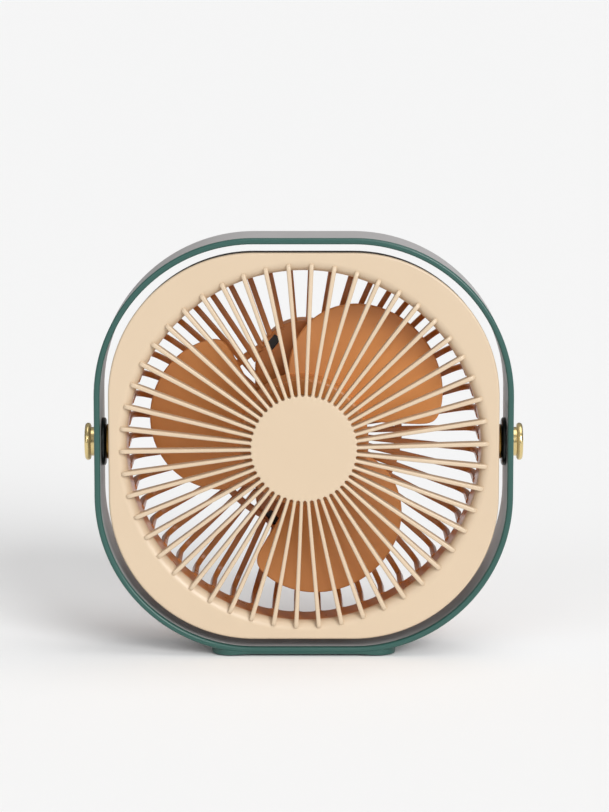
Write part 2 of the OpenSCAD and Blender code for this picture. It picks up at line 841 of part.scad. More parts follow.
module power_button() {
  edge = 0.4;
  tip = pod_back - button_proud;
  stem_end = board_back - switch_l - plunger_up;
  color("ivory") on_axis() translate([0, button_y, 0]) {
    disc(button_d / 2, tip + edge, button_front);
    translate([0, 0, tip]) cylinder(h = edge, r1 = button_d / 2 - edge, r2 = button_d / 2);
    disc(button_d / 2 + 0.9, button_front - button_flange_t, button_front);
    disc(plunger_d / 2, button_front - eps, stem_end);
  }
}

// ---- Rotor ----

// A round petal with a straight trailing edge, pitched about the line to its middle.
module blade() {
  rotate(petal_turn) translate([0, 0, (hub_front + hub_rear) / 2]) rotate([-pitch, 0, 0])
    translate([0, 0, -blade_t / 2]) linear_extrude(blade_t) difference() {
      translate([petal_out, 0]) circle(r = petal_r);
      rotate(-petal_turn) translate([-petal_out, trail_off - 4 * petal_r])
        square([4 * petal_r, 4 * petal_r]);
    }
}

module impeller() {
  hub_edge = 1.5;
  socket_r = can_r + 0.02;
  color("peru") on_axis() {
    difference() {
      union() {
        difference() {
          for (i = [0 : blade_n - 1]) rotate(trail_angle + i * 360 / blade_n) blade();
          disc(hub_r - hub_t / 2, hub_rear - 40, hub_front + 40);
        }
        tube(hub_r, hub_r - hub_t, hub_rear, hub_front - hub_edge);
        disc(hub_r - hub_edge, hub_front - hub_t, hub_front);
        rotate_extrude() translate([hub_r - hub_edge, hub_front - hub_edge]) intersection() {
          circle(r = hub_edge, $fn = 48);
          translate([-eps, -eps - 0.3]) square(hub_edge + 1);
        }
        tube(socket_r + 1.5, socket_r, hub_rear + 2, hub_front - hub_t + eps);
        tube(socket_r + eps, can_r - 3, can_front + 0.05, hub_front - hub_t + eps);
        disc(4.5, can_front + 3.2, hub_front - hub_t + eps);
      }
      disc(shaft_d / 2, can_front, shaft_front);
    }
  }
}

module rotor_can() {
  color("gray") on_axis() {
    difference() {
      union() {
        disc(can_r, can_back, can_front);
        disc(3, can_front - eps, can_front + 3);
      }
      disc(can_r - can_t, can_back - 1, can_front - can_t);
      disc(shaft_d / 2, can_back, can_front + 4);
    }
  }
}

module magnet_ring() {
  color("darkslategray") on_axis()
    tube(can_r - can_t, magnet_in, can_back + 0.4, can_front - can_t - 0.6);
}

module motor_shaft() {
  color("lightsteelblue") on_axis() disc(shaft_d / 2, shaft_back, shaft_front);
}

module shaft_clip() {
  color("silver") on_axis() tube(clip_d / 2, shaft_d / 2, clip_back, clip_back + clip_t);
}

stand_ring();
front_trim();
base_foot();
foot_pads();
foot_screws();
tilt_washer_left();
tilt_washer_right();
front_grille();
middle_frame();
rear_cage();
rear_cover();
case_screws();
spacer_disc_left();
spacer_disc_right();
pivot_inserts();
motor_base();
motor_screws();
motor_bearings();
motor_board();
stator_core();
stator_coils();
motor_leads();
insulation_sheet();
battery_pad();
battery_cell();
battery_leads();
circuit_board();
board_screws();
usb_socket();
switch_body();
light_lens();
impeller();
rotor_can();
magnet_ring();
motor_shaft();
shaft_clip();
switch_plunger();
power_button();
knob_left();
knob_right();
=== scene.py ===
"""A small desk fan: a square head with round corners that tilts inside an upright ring stand."""
import json
from math import cos, pi, radians, sin, sqrt, tan

import bmesh
import bpy
import numpy as np
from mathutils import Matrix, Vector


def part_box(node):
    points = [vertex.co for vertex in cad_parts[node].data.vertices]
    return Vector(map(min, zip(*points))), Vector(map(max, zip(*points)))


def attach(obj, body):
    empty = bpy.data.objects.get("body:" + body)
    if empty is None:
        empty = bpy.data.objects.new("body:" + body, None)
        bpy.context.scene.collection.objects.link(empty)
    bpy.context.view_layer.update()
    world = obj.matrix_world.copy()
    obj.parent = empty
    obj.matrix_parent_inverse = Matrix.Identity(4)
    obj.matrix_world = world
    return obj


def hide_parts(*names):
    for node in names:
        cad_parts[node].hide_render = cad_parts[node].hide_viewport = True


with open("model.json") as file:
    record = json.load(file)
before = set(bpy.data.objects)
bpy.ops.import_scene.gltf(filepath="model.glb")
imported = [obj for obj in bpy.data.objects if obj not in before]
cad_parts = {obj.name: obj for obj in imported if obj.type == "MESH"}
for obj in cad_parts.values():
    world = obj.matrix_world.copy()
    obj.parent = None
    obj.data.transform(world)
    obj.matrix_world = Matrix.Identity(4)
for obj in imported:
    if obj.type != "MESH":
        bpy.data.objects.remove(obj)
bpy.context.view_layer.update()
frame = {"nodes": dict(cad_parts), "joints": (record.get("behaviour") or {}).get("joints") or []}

mm = 0.001

# ---- Ring stand ----
# A flat band of grey ABS bent round the head, with a plain hole in each side. The head hangs in it on two
# brass knobs, whose 6 mm shanks turn in those holes, and the band's back edge is rounded to the hand.
tilt = next(j["pos_m"] for j in frame["joints"] if j["name"] == "head_tilt")


def place(x, y, z):
    """Points from x to the right, y up and z out of the fan's front, from the middle of the tilt axis."""
    x, y, z = np.broadcast_arrays(x, y, z)
    return np.stack([tilt[0] + x, tilt[1] - z, tilt[2] + y], axis=-1)


def rounded(corners, steps=6):
    """A closed flat outline in which each corner (a, b, radius) is an arc that touches both of its sides."""
    points = np.array([corner[:2] for corner in corners], float)
    out = []
    for i, (a, b, radius) in enumerate(corners):
        back = points[i - 1] - points[i]
        on = points[(i + 1) % len(corners)] - points[i]
        back, on = back / np.linalg.norm(back), on / np.linalg.norm(on)
        half = np.arccos(np.clip(back @ on, -1, 1)) / 2
        if radius == 0 or half > 1.57:
            out.append(np.array([[a, b]]))
            continue
        middle = (back + on) / np.linalg.norm(back + on)
        side = np.sign(back[0] * on[1] - back[1] * on[0])
        turn = np.linspace(1, -1, steps) * (pi / 2 - half) * side
        spoke = [middle[0] * np.cos(turn) - middle[1] * np.sin(turn),
                 middle[0] * np.sin(turn) + middle[1] * np.cos(turn)]
        out.append(points[i] + middle * radius / sin(half) - radius * np.stack(spoke, 1))
    return np.concatenate(out)


def carry(outline, flat_x=0.0, flat_y=0.0, steps=24, square=1.0, sides=0):
    """Carries an outline of (radius, z) round four corner arcs about (flat_x, flat_y), joined by straight
    sides of the given number of points. Points with square = 0 follow one circle of that radius."""
    radius, z = np.asarray(outline).T
    corner_x, corner_y = flat_x * np.array([1, -1, -1, 1, 1]), flat_y * np.array([1, 1, -1, -1, 1])
    rows = []
    for i in range(4):
        rows += [(corner_x[i], corner_y[i], (i + share) * pi / 2) for share in np.linspace(0, 1, steps)]
        for share in np.linspace(0, 1, sides + 2)[1:-1]:
            rows.append((corner_x[i] + share * (corner_x[i + 1] - corner_x[i]),
                         corner_y[i] + share * (corner_y[i + 1] - corner_y[i]), (i + 1) * pi / 2))
    mid_x, mid_y, angle = np.array(rows).T[:, :, None]
    x, y = mid_x + radius * np.cos(angle), mid_y + radius * np.sin(angle)
    far = 3 * flat_x + 0.01
    way = np.arctan2(mid_y + far * np.sin(angle), mid_x + far * np.cos(angle))
    square = np.broadcast_to(square, radius.shape)
    x = np.where(square > 0, x, radius * np.cos(way))
    y = np.where(square > 0, y, radius * np.sin(way))
    return x, y, np.broadcast_to(z, x.shape)


def skin(points, wrap=(True, True), caps=False):
    """Quads over a grid of points. A wrapped direction joins its last line to its first, and caps closes both
    ends."""
    ids = np.arange(points.shape[0] * points.shape[1]).reshape(points.shape[:2])
    first, last = ids[0].tolist(), ids[-1].tolist()
    if wrap[0]:
        ids = np.vstack([ids, ids[:1]])
    if wrap[1]:
        ids = np.hstack([ids, ids[:, :1]])
    quads = np.stack([ids[:-1, :-1], ids[1:, :-1], ids[1:, 1:], ids[:-1, 1:]], -1).reshape(-1, 4).tolist()
    return points.reshape(-1, 3), quads + ([first, last[::-1]] if caps else [])


sharp_from = radians(38)


def solid(name, *skins):
    """One mesh object of closed skins, with doubles merged, faces outward and only real corners sharp."""
    start = np.cumsum([0] + [len(points) for points, _ in skins])
    faces = [[i + s for i in face] for (_, group), s in zip(skins, start) for face in group]
    mesh = bpy.data.meshes.new(name)
    mesh.from_pydata(np.concatenate([points for points, _ in skins]).tolist(), [], faces)
    build = bmesh.new()
    build.from_mesh(mesh)
    bmesh.ops.remove_doubles(build, verts=build.verts, dist=2e-7)
    bmesh.ops.dissolve_degenerate(build, edges=build.edges, dist=1e-7)
    bmesh.ops.recalc_face_normals(build, faces=build.faces)
    build.to_mesh(mesh)
    build.free()
    mesh.shade_smooth()
    mesh.set_sharp_from_angle(angle=sharp_from)
    piece = bpy.data.objects.new(name, mesh)
    bpy.context.scene.collection.objects.link(piece)
    return piece


def cut(piece, *cutters):
    """Cuts the cutters' shapes out of a piece for good."""
    for cutter in cutters:
        work = piece.modifiers.new("cut", "BOOLEAN")
        work.object, work.solver = cutter, "EXACT"
    bpy.context.view_layer.update()
    mesh = bpy.data.meshes.new_from_object(piece.evaluated_get(bpy.context.evaluated_depsgraph_get()))
    piece.modifiers.clear()
    piece.data = mesh
    mesh.set_sharp_from_angle(angle=sharp_from)
    for cutter in cutters:
        bpy.data.objects.remove(cutter)
    return piece


def settle(piece, body, material, slot, *nodes):
    """Finishes a piece: even shading by its fillets, its material and body, and what it replaces. The slot is
    not used.
    """
    work = piece.modifiers.new("even shading", "WEIGHTED_NORMAL")
    work.keep_sharp = True
    piece.data.materials.clear()
    piece.data.materials.append(material)
    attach(piece, body)
    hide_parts(*nodes)


def linear(colour):
    """An sRGB hex colour as linear RGBA."""
    value = np.array([int(colour[i:i + 2], 16) for i in (1, 3, 5)]) / 255
    return (*np.where(value < 0.04045, value / 12.92, ((value + 0.055) / 1.055) ** 2.4).tolist(), 1.0)


def node(tree, kind, inputs, **settings):
    """Adds a node, applies its settings, and sets each named input or links it to another node's output."""
    new = tree.nodes.new("ShaderNode" + kind)
    for key, value in settings.items():
        setattr(new, key, value)
    for key, value in inputs.items():
        if isinstance(value, bpy.types.NodeSocket):
            tree.links.new(value, new.inputs[key])
        else:
            new.inputs[key].default_value = value
    return new


pigment_size = 28 * mm
rub_size = 9 * mm


def moulded(name, colour, roughness, grain=0.35 * mm, depth=0.012 * mm, drift=0.05, ior=1.53, coat=0.0):
    """A moulded plastic. A spark-eroded mould leaves a fine even grain, drawn as coarse as it needs to show;
    the pigment drifts a little across a piece, and handling leaves the gloss uneven."""
    material = bpy.data.materials.new(name)
    material.use_nodes = True
    tree = material.node_tree
    shader = tree.nodes["Principled BSDF"]
    where = node(tree, "TexCoord", {}).outputs["Object"]
    cloud = node(tree, "TexNoise", {"Vector": where, "Scale": 1 / pigment_size, "Detail": 4.0,
                                    "Roughness": 0.6})
    base = np.array(linear(colour))
    dark = tuple((base * [1 - drift, 1 - 1.2 * drift, 1 - 1.4 * drift, 1]).tolist())
    tone = node(tree, "Mix", {0: cloud.outputs["Fac"], 6: dark, 7: tuple(base.tolist())}, data_type="RGBA")
    rub = node(tree, "TexNoise", {"Vector": where, "Scale": 1 / rub_size, "Detail": 5.0, "Roughness": 0.65})
    gloss = node(tree, "MapRange", {"Value": rub.outputs["Fac"], "From Min": 0.3, "From Max": 0.7,
                                    "To Min": roughness - 0.04, "To Max": roughness + 0.05})
    spark = node(tree, "TexNoise", {"Vector": where, "Scale": 1 / grain, "Detail": 2.0, "Roughness": 0.5})
    bump = node(tree, "Bump", {"Height": spark.outputs["Fac"], "Distance": depth, "Strength": 0.6})
    tree.links.new(tone.outputs[2], shader.inputs["Base Color"])
    tree.links.new(gloss.outputs["Result"], shader.inputs["Roughness"])
    tree.links.new(bump.outputs["Normal"], shader.inputs["Normal"])
    shader.inputs["IOR"].default_value = ior
    shader.inputs["Coat Weight"].default_value = coat
    shader.inputs["Coat Roughness"].default_value = 0.12
    return material


band_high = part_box("stand_ring")[1]
flat = 17.9 * mm
ring_half = band_high.x
ring_t = 2.15 * mm
bore_half = ring_half - ring_t
front = tilt[1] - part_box("front_trim")[0].y
ring_back = tilt[1] - band_high.y
trim_depth = 2.4 * mm
trim_gap = 0.04 * mm
ring_round = 0.8 * mm
shank_r = 3.05 * mm


def band_outline(low, high, low_round, high_round):
    """The band's section between two depths, as (radius, z), with its four edges rounded."""
    outer, inner = ring_half - flat, bore_half - flat
    return rounded([(inner, low, low_round), (outer, low, low_round),
                    (outer, high, high_round), (inner, high, high_round)])


def along_x(outline, steps=24):
    """Turns an outline of (radius, place along x) about the tilt axis."""
    around, up, along = carry(outline, steps=steps)
    return place(along, around, up)


def rod_x(radius, start, end):
    """A plain rod along the tilt axis, as a cutter."""
    return solid("rod", skin(along_x([(0, start), (radius, start), (radius, end), (0, end)]), (True, False)))


ring_abs = moulded("moulded ABS, mid grey", "#B8B6B6", 0.42)
stand = solid("stand_ring_body", skin(place(*carry(
    band_outline(ring_back, front - trim_depth - trim_gap, ring_round, 0.2 * mm), flat, flat, 40))))
cut(stand, rod_x(shank_r, ring_half - 4 * mm, ring_half + 2 * mm),
    rod_x(shank_r, -ring_half - 2 * mm, 4 * mm - ring_half))
settle(stand, "stand", ring_abs, "ring_grey", "stand_ring")

# ---- Front trim ----
# A deep green ABS bead that presses into a groove in the band's front edge. Its face is rounded on both
# sides, which gives it a soft line of light along each edge.
green_abs = moulded("moulded ABS, deep green", "#28534C", 0.34)
trim = solid("front_trim_bead", skin(place(*carry(
    band_outline(front - trim_depth + trim_gap, front, 0.15 * mm, ring_round), flat, flat, 40))))
settle(trim, "stand", green_abs, "stand_green", "front_trim")

# ---- Foot ----
# One green ABS moulding that fills the wedge between the desk and the round of the ring. It stands on a
# land at each end and is hollowed between them, and two screws under the pads hold it to the band.
foot_low, foot_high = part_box("base_foot")
foot_half = foot_high.x
foot_back = foot_high.y
foot_plan_r = 7 * mm
foot_edge = 0.5 * mm
land_w = 13.7 * mm
hollow = 0.45 * mm
land_slope = 3 * mm
into_ring = 0.35 * mm
ring_foot = tilt[2] - ring_half


def foot_section(x):
    """The foot cut across at each x: half depth, underside and top, which follows the round of the ring."""
    out = np.abs(x)
    turn = np.clip((out - foot_half + foot_plan_r) / foot_plan_r, 0, 1)
    half_depth = (foot_back - foot_low.y) / 2 - foot_plan_r * (1 - np.sqrt(1 - turn ** 2))
    ease = np.clip((foot_half - land_w + land_slope - out) / land_slope, 0, 1)
    tip = np.clip((out - foot_half + foot_edge) / foot_edge, 0, 1)
    under = foot_low.z + hollow * ease ** 2 * (3 - 2 * ease) + foot_edge * (1 - np.sqrt(1 - tip ** 2))
    reach = np.clip(out - flat, 0, None)
    radius = ring_half - flat
    return half_depth, under, ring_foot + radius - np.sqrt(radius ** 2 - reach ** 2) + into_ring


ends = foot_half - foot_plan_r * (1 - np.sin(np.linspace(0, pi / 2, 10)))
step = foot_half - land_w
half_x = np.concatenate([np.linspace(0, step - land_slope, 6), np.linspace(step - land_slope, step, 9)[1:],
                         ends])
station = np.concatenate([-half_x[:0:-1], half_x])[:, None]
half_depth, under, top = foot_section(station)
lift = foot_edge * (1 - np.cos(np.linspace(0, pi / 2, 6)))
side = np.concatenate([lift - half_depth, half_depth - lift[::-1], half_depth, -half_depth], axis=1)
level = np.concatenate([under + lift[::-1], under + lift, top, top], axis=1)
foot = solid("base_foot_block", skin(np.stack(
    [np.broadcast_to(station, side.shape), tilt[1] + side, level], -1), (False, True), caps=True))
settle(foot, "stand", green_abs, "stand_green", "base_foot")

# ---- Foot pads and screws ----
# Two pads of black rubber, die cut and set in shallow pockets under the lands so the fan doesn't creep on a
# desk. The steel screws behind them are standard pan heads and stay as the solid model has them.
def rubber(name, colour, roughness=0.5):
    """Black rubber: soft sheen, with a faint bloom where it has been handled."""
    material = bpy.data.materials.new(name)
    material.use_nodes = True
    tree = material.node_tree
    shader = tree.nodes["Principled BSDF"]
    where = node(tree, "TexCoord", {}).outputs["Object"]
    bloom = node(tree, "TexNoise", {"Vector": where, "Scale": 1 / (3 * mm), "Detail": 5.0, "Roughness": 0.7})
    base = linear(colour)
    pale = tuple(min(1.0, part * 1.8 + 0.004) for part in base[:3]) + (1.0,)
    tone = node(tree, "Mix", {0: bloom.outputs["Fac"], 6: base, 7: pale}, data_type="RGBA")
    grain = node(tree, "TexNoise", {"Vector": where, "Scale": 1 / (0.3 * mm), "Detail": 3.0})
    bump = node(tree, "Bump", {"Height": grain.outputs["Fac"], "Distance": 0.01 * mm, "Strength": 0.5})
    tree.links.new(tone.outputs[2], shader.inputs["Base Color"])
    tree.links.new(bump.outputs["Normal"], shader.inputs["Normal"])
    shader.inputs["Roughness"].default_value = roughness
    shader.inputs["IOR"].default_value = 1.5
    return material


def turned_metal(name, colour, roughness, ring_pitch=0.18 * mm, depth=0.002 * mm, axis="X", dull=0.06):
    """Metal turned on a lathe: faint rings at the tool's feed, drawn a little coarser than real so they show,
    and small patches where the polish or plating has dulled."""
    material = bpy.data.materials.new(name)
    material.use_nodes = True
    tree = material.node_tree
    shader = tree.nodes["Principled BSDF"]
    where = node(tree, "TexCoord", {}).outputs["Object"]
    centre = node(tree, "Mapping", {"Vector": where, "Location": [-part for part in tilt]})
    rings = node(tree, "TexWave", {"Vector": centre.outputs["Vector"], "Scale": 1 / ring_pitch / 20,
                                   "Distortion": 0.4, "Detail": 1.0}, wave_type="RINGS", rings_direction=axis)
    patch = node(tree, "TexNoise", {"Vector": where, "Scale": 1 / (2.5 * mm), "Detail": 4.0,
                                    "Roughness": 0.65})
    gloss = node(tree, "MapRange", {"Value": patch.outputs["Fac"], "From Min": 0.35, "From Max": 0.7,
                                    "To Min": roughness, "To Max": roughness + dull})
    bump = node(tree, "Bump", {"Height": rings.outputs["Fac"], "Distance": depth, "Strength": 0.35})
    tree.links.new(gloss.outputs["Result"], shader.inputs["Roughness"])
    tree.links.new(bump.outputs["Normal"], shader.inputs["Normal"])
    shader.inputs["Base Color"].default_value = linear(colour)
    shader.inputs["Metallic"].default_value = 1.0
    return material


def finish_node(name, material):
    """Gives a solid-model node its material."""
    mesh = frame["nodes"][name].data
    mesh.materials.clear()
    mesh.materials.append(material)


def block(outline, flat_a, flat_b, steps=8):
    """Slices of a round-cornered block as grids, one for each (corner radius, place along) of its outline."""
    return [grid.T for grid in carry(outline, flat_a, flat_b, steps)]


pad_rubber = rubber("silicone rubber, black", "#161616")
screw_steel = turned_metal("zinc-plated steel", "#B9BBBF", 0.28, axis="Y")
pad_round = 0.8 * mm
pads = []
pad_low, pad_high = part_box("foot_pads")
pad_half_y = (pad_high.y - pad_low.y) / 2
pad_w = 9 * mm
for side in (-1, 1):
    centre = side * (pad_high.x - pad_w / 2)
    pad_edge = [(pad_round - 0.2 * mm, pad_low.z), (pad_round, pad_low.z + 0.2 * mm), (pad_round, pad_high.z)]
    x, y, z = block(pad_edge, pad_w / 2 - pad_round, pad_half_y - pad_round)
    across = np.stack([centre + x, (pad_low.y + pad_high.y) / 2 + y, z], -1)
    pads.append(skin(across, (False, True), caps=True))
pads = solid("foot_pad_pair", *pads)
settle(pads, "stand", pad_rubber, "pad_rubber", "foot_pads")
finish_node("foot_screws", screw_steel)

# ---- Tilt washers ----
# A thick black rubber washer on each side, squeezed between the band and the head's spacer disc. It gives
# the friction that holds the head where it is set, and its rim is rounded over.
washer_rubber = rubber("nitrile rubber, black", "#0D1614", 0.3)
for word, side in (("left", -1), ("right", 1)):
    low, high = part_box(f"tilt_washer_{word}")
    near, far = sorted((abs(low.x), abs(high.x)))
    rim = (high.z - low.z) / 2
    outline = rounded([(shank_r, near, 0.2 * mm), (rim - 0.7 * mm, near, 0.3 * mm),
                       (rim, near + 0.4 * mm, 0.3 * mm), (rim, far, 0.2 * mm), (shank_r, far, 0.1 * mm)])
    washer = solid(f"rubber_washer_{word}", skin(along_x(outline * [1, side])))
    settle(washer, "stand", washer_rubber, "washer_rubber", f"tilt_washer_{word}")

# ---- Grille ----
# The head's front is one moulding in cream ABS: a square plate with round corners, a bell mouth, and fifty
# deep narrow ribs that run from the bell mouth to a flat hub disc a little ahead of the plate.
cream_abs = moulded("moulded ABS, cream", "#D0BBA0", 0.38)
plate_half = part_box("front_grille")[1].x
rib_n = 50
rib_phase = radians(1.2)
open_r = 63.4 * mm
lip_r = 3.8 * mm
plate_t = 2.4 * mm
hub_disc_r = 18.8 * mm
disc_rise = 3 * mm
rib_root_w = 1.2 * mm
rib_tip_w = 1.6 * mm
rib_deep = 5 * mm
rib_end_r = 66.2 * mm
disc_top = front + disc_rise
lip_back = front - lip_r

plate_back = front - plate_t
inward = plate_half - flat - 4 * mm
plate_edge = rounded([(plate_half - flat, plate_back, 0.3 * mm), (plate_half - flat, front, 0.8 * mm),
                      (inward, front, 0), (inward, plate_back, 0)], 9)[:-2]
bell_turn = np.linspace(0, pi / 2, 12)
bell = np.stack([open_r + lip_r * (1 - np.sin(bell_turn)), lip_back + lip_r * np.cos(bell_turn)], 1)
lip_rear = [(open_r + lip_r, lip_back), (open_r + lip_r, plate_back)]
outline = np.concatenate([plate_edge, bell, lip_rear])
square = np.arange(len(outline)) < len(plate_edge)
plate = skin(place(*carry(outline, flat, flat, 40, square, 15)))


def bar(along, width, front_level, back_level, round_front, draft=0.86):
    """A straight rib as a grid: places along it by points round its section. Each section is a rectangle with
    rounded front corners, and it narrows by draft towards the back so that the moulding leaves its mould."""
    turn = np.linspace(0, pi / 2, 5)
    half = width[:, None] / 2
    edge = np.minimum(round_front, half * 0.98)
    across = np.concatenate([half - edge + edge * np.cos(turn), -half + edge - edge * np.cos(turn[::-1])], 1)
    level = np.concatenate([front_level[:, None] - edge * (1 - np.sin(turn)),
                            front_level[:, None] - edge * (1 - np.sin(turn[::-1]))], 1)
    across = np.concatenate([across, -half * draft, half * draft], 1)
    level = np.concatenate([level, back_level[:, None], back_level[:, None]], 1)
    return np.broadcast_to(along[:, None], across.shape), across, level


def spin(x, y, z, angle):
    """Turns places about the fan's own axis."""
    return place(x * cos(angle) - y * sin(angle), x * sin(angle) + y * cos(angle), z)


tip_turn = np.linspace(0, pi / 2, 9)
tip_round = 2.0 * mm
rib_r = np.concatenate([np.linspace(hub_disc_r - 1.2 * mm, rib_end_r - tip_round, 12),
                        rib_end_r - tip_round + tip_round * np.sin(tip_turn[1:])])
share = (rib_r - hub_disc_r) / (rib_end_r - hub_disc_r)
rib_w = rib_root_w + (rib_tip_w - rib_root_w) * share
from_end = np.clip((rib_r - rib_end_r + rib_w / 2) / (rib_w / 2), 0, 0.995)
rib_w = rib_w * np.sqrt(1 - from_end ** 2)
past = np.clip((rib_r - rib_end_r + tip_round) / tip_round, 0, 1)
rib_front = disc_top - 0.02 * mm - 2 * mm * share - 1.5 * mm * (1 - np.sqrt(1 - past ** 2))
rib_back = np.maximum(rib_front - rib_deep, np.where(rib_r > open_r - 0.5 * mm, lip_back + 0.3 * mm, -1))
ribs = []
for i in range(rib_n):
    ribs.append(skin(spin(*bar(rib_r, rib_w, rib_front, rib_back, 0.5 * mm), rib_phase + i * 2 * pi / rib_n),
                     (False, True), caps=True))

slot_half = (2 * pi * hub_disc_r / rib_n - rib_root_w) / 2
disc_samples = 14 * rib_n
disc_turn = np.linspace(0, 2 * pi, disc_samples, endpoint=False)[:, None] + rib_phase
beside = (disc_turn - rib_phase + pi / rib_n) % (2 * pi / rib_n) - pi / rib_n
from_slot = np.abs(np.abs(beside) - pi / rib_n) * hub_disc_r
scallop = slot_half - np.sqrt(np.clip(slot_half ** 2 - from_slot ** 2, 0, None))
disc_t = 2.2 * mm
skirt_r = hub_disc_r - 2 * mm
disc_rim = rounded([(hub_disc_r - 3 * mm, disc_top, 0), (hub_disc_r, disc_top, 0.45 * mm),
                    (hub_disc_r, disc_top - rib_deep, 0.2 * mm), (skirt_r, disc_top - rib_deep, 0.2 * mm),
                    (skirt_r, disc_top - disc_t, 0)])
disc_outline = np.concatenate([[(0, disc_top)], disc_rim, [(0, disc_top - disc_t)]])
at_rim = np.clip((disc_outline[:, 0] - hub_disc_r + 1.5 * mm) / (0.9 * mm), 0, 1)
disc_r = disc_outline[:, 0] + at_rim * scallop
disc = skin(place(disc_r * np.cos(disc_turn), disc_r * np.sin(disc_turn), disc_outline[:, 1]), (True, False))
grille = solid("front_grille_moulding", plate, disc, *ribs)
settle(grille, "head", cream_abs, "grille_cream", "front_grille")

# ---- Case frame ----
# A brown ABS frame behind the grille's plate, coloured near black as painted shade: its thin edge above the
# plate stands for the shaded side wall of the head. It closes the head's sides, carries a seat for the duct's
# flange, a round boss on each side for the tilt pivots, and a post in each corner for a case screw.
# Painted shade: the frame's near-black brown darkens the head's side wall to the shade that falls between
# plate and ring.
frame_shade_abs = moulded("moulded ABS, dark brown", "#2A1C16", 0.45)
frame_back = 2.6 * mm
frame_t = 1.7 * mm
frame_floor = 1.6 * mm
frame_half = plate_half - 0.3 * mm
duct_r = open_r + 1.8 * mm
seat_r = duct_r + 0.15 * mm
seat_t = 1.2 * mm
seat = lip_back - 1.7 * mm
boss_r = 6.25 * mm
post_r = 3.1 * mm
post_l = 4.4 * mm
head_r = 2.2 * mm
sink = 1.8 * mm
sink_r = head_r + 0.15 * mm
post_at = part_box("case_screws")[1].x - head_r

wall_out = frame_half - flat
wall_in = wall_out - frame_t
floor_top = frame_back + frame_floor
wall = rounded([(wall_out - 6 * mm, frame_back, 0), (wall_out, frame_back, 0.9 * mm),
                (wall_out, plate_back, 0.15 * mm), (wall_in, plate_back, 0.15 * mm),
                (wall_in, floor_top, 0.4 * mm), (wall_out - 6 * mm, floor_top, 0)])[1:-1]
ring = rounded([(seat_r + seat_t + 2 * mm, floor_top, 0), (seat_r + seat_t, floor_top, 0.3 * mm),
                (seat_r + seat_t, seat, 0.15 * mm), (seat_r, seat, 0.15 * mm),
                (seat_r, frame_back, 0.5 * mm), (seat_r + seat_t + 2 * mm, frame_back, 0)])[1:-1]
square = np.arange(len(wall) + len(ring)) < len(wall)
case_outline = np.concatenate([wall, ring])
case = solid("case_frame_shell", skin(place(*carry(case_outline, flat, flat, 40, square, 15))))
corners = [(sx * post_at, sy * post_at) for sx in (-1, 1) for sy in (-1, 1)]


def turned(outline, x=0.0, y=0.0, steps=12):
    """Turns an outline of (radius, z) about a line parallel to the fan's axis."""
    across, up, z = carry(outline, steps=steps)
    return place(x + across, y + up, z)


def rod_z(radius, low, high, x=0.0, y=0.0):
    """A plain rod parallel to the fan's axis, as a cutter."""
    outline = [(0, low), (radius, low), (radius, high), (0, high)]
    return solid("rod", skin(turned(outline, x, y), (True, False)))


cut(case, *[rod_z(sink_r, frame_back - mm, frame_back + 3 * mm, x, y) for x, y in corners])
post = rounded([(1.4 * mm, frame_back + sink, 0.1 * mm), (sink_r, frame_back + sink, 0.1 * mm),
                (sink_r, frame_back + 0.1 * mm, 0.05 * mm), (post_r, frame_back + 0.3 * mm, 0.05 * mm),
                (post_r, frame_back + post_l, 0.3 * mm), (1.4 * mm, frame_back + post_l, 0.2 * mm)], 3)
boss = rounded([(3 * mm, seat_r + 0.1 * mm, 0), (boss_r, seat_r + 0.1 * mm, 0.3 * mm),
                (boss_r, plate_half, 0.5 * mm), (3 * mm, plate_half, 0.3 * mm)])
fittings = solid("case_frame_posts", *[skin(turned(post, x, y)) for x, y in corners],
                 *[skin(along_x(boss * [1, side])) for side in (-1, 1)])
settle(case, "head", frame_shade_abs, "frame_brown", "middle_frame")
settle(fittings, "head", frame_shade_abs, "frame_brown", "middle_frame")

# ---- Case screws ----
# Four zinc-plated M2.5 thread-forming screws with cross recesses, driven from behind through the posts
# into the grille's bosses.
def recess(x, y, reach=1.25 * mm, half=0.33 * mm, deep=0.85 * mm):
    """Depth of a cross recess: two crossed slots whose floors rise towards their ends."""
    narrow, wide = np.minimum(np.abs(x), np.abs(y)), np.maximum(np.abs(x), np.abs(y))
    side = np.clip((half * (1.3 - wide / reach) - narrow) / (0.12 * mm) + 0.5, 0, 1)
    end = np.clip((reach - wide) / reach, 0, 1)
    return deep * side * np.sqrt(end)


head_seat = frame_back + sink
head_face = head_seat - 1.5 * mm
thread_r = 1.2 * mm
face_n = 16
screw_face = np.stack([np.linspace(0, 1.5 * mm, face_n), np.full(face_n, head_face + 0.05 * mm)], 1)
screw = np.concatenate([screw_face,
                        rounded([(1.6 * mm, head_face, 0), (head_r, head_face + 0.35 * mm, 0.3 * mm),
                                 (head_r, head_seat, 0.1 * mm), (thread_r, head_seat, 0.1 * mm),
                                 (thread_r, plate_back - mm, 0.4 * mm), (0, plate_back - mm, 0)], 4)])
across, up, z = carry(screw, steps=16)
z = z + np.where(np.arange(len(screw)) < face_n, recess(across, up), 0)
screws = solid("case_screw_set", *[skin(place(across + x, up + y, z), (True, False)) for x, y in corners])
settle(screws, "head", screw_steel, "screw_steel", "case_screws")

# ---- Rear guard ----
# One tan ABS moulding: the air duct, fifty ribs that run back from it, round a bend and in to the pod, a
# ring that ties them together, and the pod's front half with a slot by each clip of the cover.
tan_abs = moulded("moulded ABS, tan", "#C67F42", 0.3, grain=0.3 * mm, depth=0.008 * mm)
duct_back = front - 17.5 * mm
flange_front = lip_back - 0.15 * mm
flange_t = 1.4 * mm
cage_in = front - 38.5 * mm
cage_t = 2.2 * mm
cage_w = 2.0 * mm
bend_r = 7 * mm
window_round = 2.2 * mm
ring_r = 34.9 * mm
ring_w = 2.6 * mm
pod_r = 18 * mm
pod_flat = 23.2 * mm
pod_t = 1.4 * mm
pod_floor = cage_in - cage_t / 2
pod_seam = tilt[1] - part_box("rear_cage")[1].y
pod_back = tilt[1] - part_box("rear_cover")[1].y

